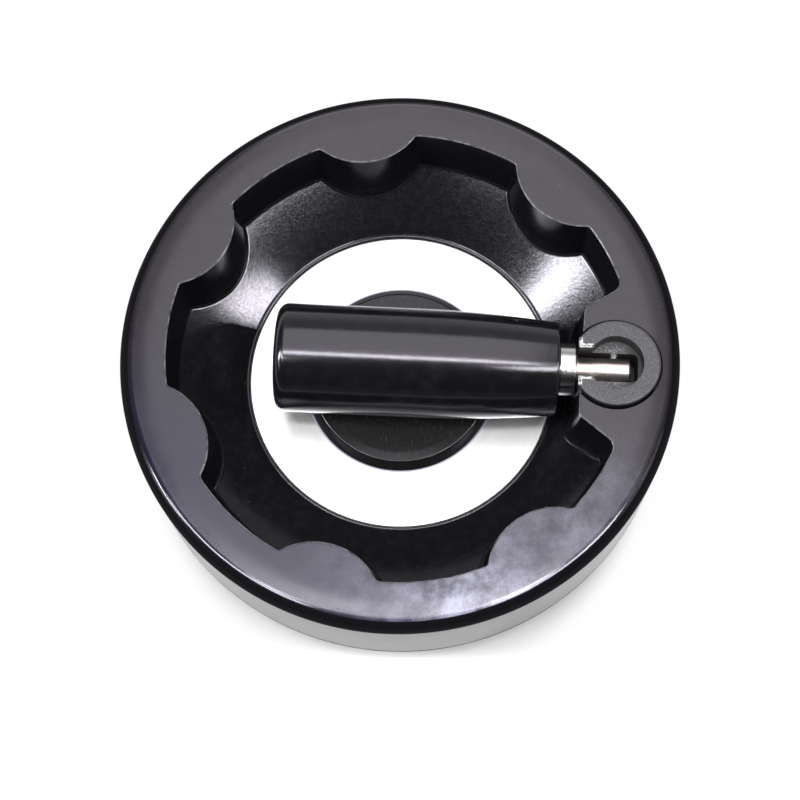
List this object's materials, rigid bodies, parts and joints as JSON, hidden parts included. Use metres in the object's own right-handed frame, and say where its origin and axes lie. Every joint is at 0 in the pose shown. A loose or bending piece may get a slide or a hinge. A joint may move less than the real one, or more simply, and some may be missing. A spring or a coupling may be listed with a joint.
{
  "type": "machine handwheel",
  "caption": "Black moulded handwheel with a finger wave inside its rim, a turned steel hub with a centre cap, and a revolving handle that folds into the dish.",
  "frame": {"origin": "middle of the hub's back face, on the shaft's axis", "axes": "+Z along the wheel's axis from the hub's back face towards the rim's face; +X from the axis to the handle's socket"},
  "size_m": [0.1254, 0.1254, 0.0506],
  "materials": {
    "wheel_moulding": "moulded black phenolic, satin on the face and glossy inside",
    "hub_steel": "turned steel",
    "cap_moulding": "moulded black plastic",
    "blackened_steel": "blackened steel with burnished edges",
    "stem_steel": "ground steel",
    "polished_collar": "polished",
    "grip_moulding": "moulded black phenolic, glossy",
    "screw_steel": "dark oiled steel",
    "zinc_steel": "zinc plated steel",
    "spring_steel": "oiled spring wire"
  },
  "bodies": {
    "wheel": {"wheel_body": "wheel_moulding", "hub_core": "hub_steel", "hub_set_screw": "screw_steel", "centre_cap": "cap_moulding", "handle_socket": "blackened_steel", "hinge_pin": "stem_steel", "socket_screw": "screw_steel", "socket_washer": "zinc_steel"},
    "stem": {"stem": "stem_steel", "spring_washer": "zinc_steel", "stem_screw": "zinc_steel", "return_spring": "spring_steel"},
    "sleeve": {"locking_sleeve": "polished_collar", "retaining_ring": "screw_steel"},
    "grip": {"grip": "grip_moulding", "grip_washer": "zinc_steel", "grip_end_plug": "grip_moulding"}
  },
  "joints": [
    {"name": "handle_fold", "type": "hinge", "parent": "wheel", "child": "stem", "pos_m": [0.04815, -0.001, 0.0383], "axis": [0, 1, 0], "range_deg": [0, 90]},
    {"name": "handle_draw", "type": "slide", "parent": "stem", "child": "sleeve", "axis": [-1, 0, 0], "range_m": [0, 0.0095], "deforming": ["return_spring"]},
    {"name": "grip_spin", "type": "hinge", "parent": "sleeve", "child": "grip", "pos_m": [0.01815, -0.001, 0.0383], "axis": [-1, 0, 0], "continuous": true}
  ],
  "couplings": [
    {"joint": "handle_draw", "follows": "handle_fold", "m_per_rad": 0.0058}
  ]
}
